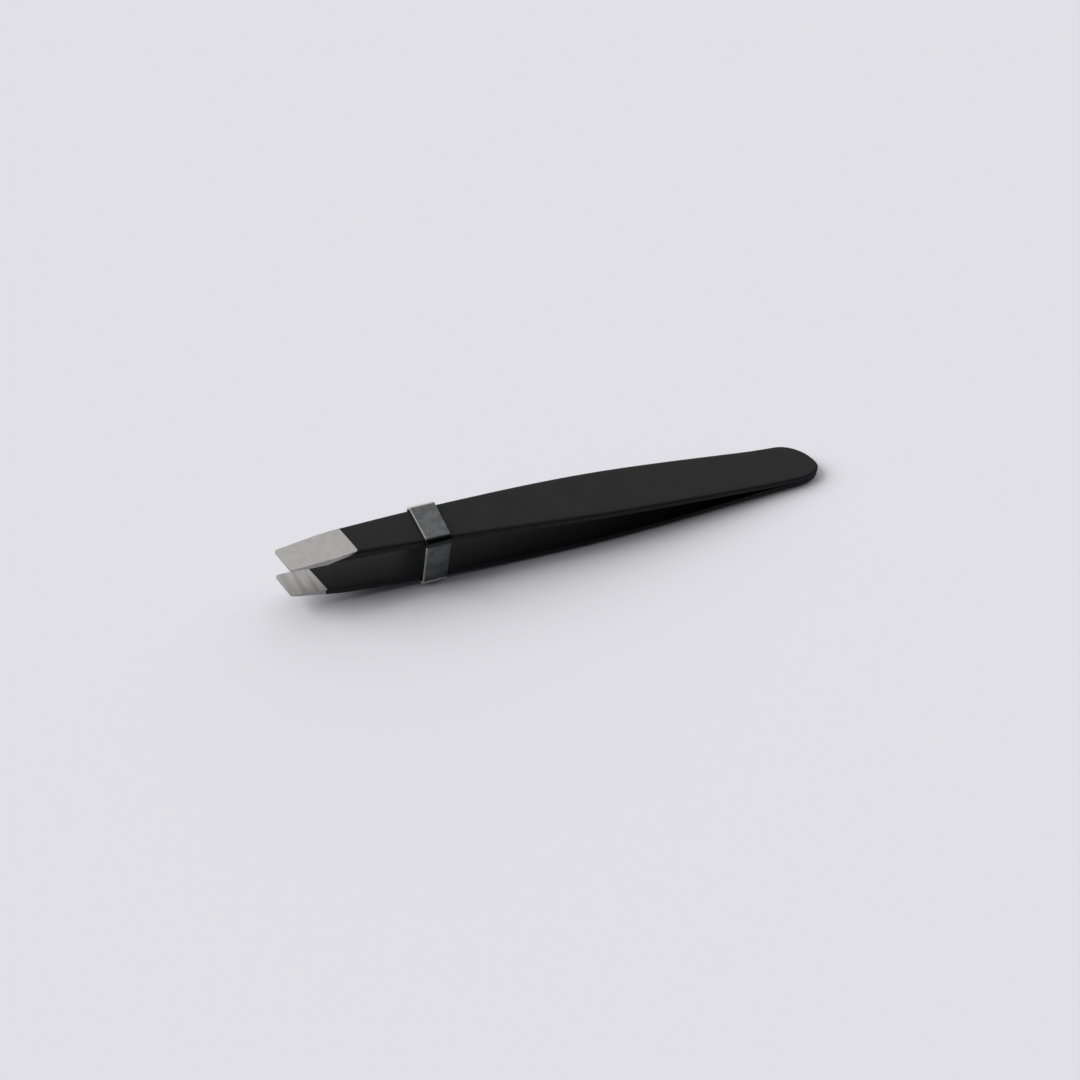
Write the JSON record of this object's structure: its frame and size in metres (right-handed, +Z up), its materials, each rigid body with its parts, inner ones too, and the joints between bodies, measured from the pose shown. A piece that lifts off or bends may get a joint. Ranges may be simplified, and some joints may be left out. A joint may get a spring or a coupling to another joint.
{
  "type": "slanted tweezers",
  "caption": "Slanted tweezers: bowed, black-coated steel arms joined at a rounded heel, bare ground tips cut at a slant, and a folded steel ring sliding on the arms.",
  "frame": {"origin": "centre of the bounding box's bottom face, on the surface that the tool lies on", "axes": "+X from the tips to the heel, +Z up, with the arms one over the other; the longer side of the slanted tips is at +Y. The tool lies on the ring's rear lower edge and the heel, so its own long axis falls by 3.6 degrees towards +X. The ring sits a little askew on the arms, as in the picture."},
  "size_m": [0.0952, 0.0098, 0.011],
  "materials": {
    "black_coat": "satin black coat over steel, bare and ground at the tips",
    "ring_steel": "dull grey sheet with bright cut edges",
    "weld_steel": "as fused"
  },
  "bodies": {
    "lower_blade": {"lower_arm": "black_coat", "front_weld": "weld_steel", "rear_weld": "weld_steel"},
    "upper_blade": {"upper_arm": "black_coat"},
    "ring": {"sliding_ring": "ring_steel"}
  },
  "joints": [
    {"name": "arm_squeeze", "type": "hinge", "parent": "lower_blade", "child": "upper_blade", "pos_m": [0.03864, 0, 0.00151], "axis": [0, -1, 0], "range_deg": [0, 3.65], "stiffness_Nm_per_rad": 3},
    {"name": "ring_slide", "type": "slide", "parent": "lower_blade", "child": "ring", "axis": [0.998, 0, -0.0632], "range_m": [-0.008, 0.0024]}
  ]
}
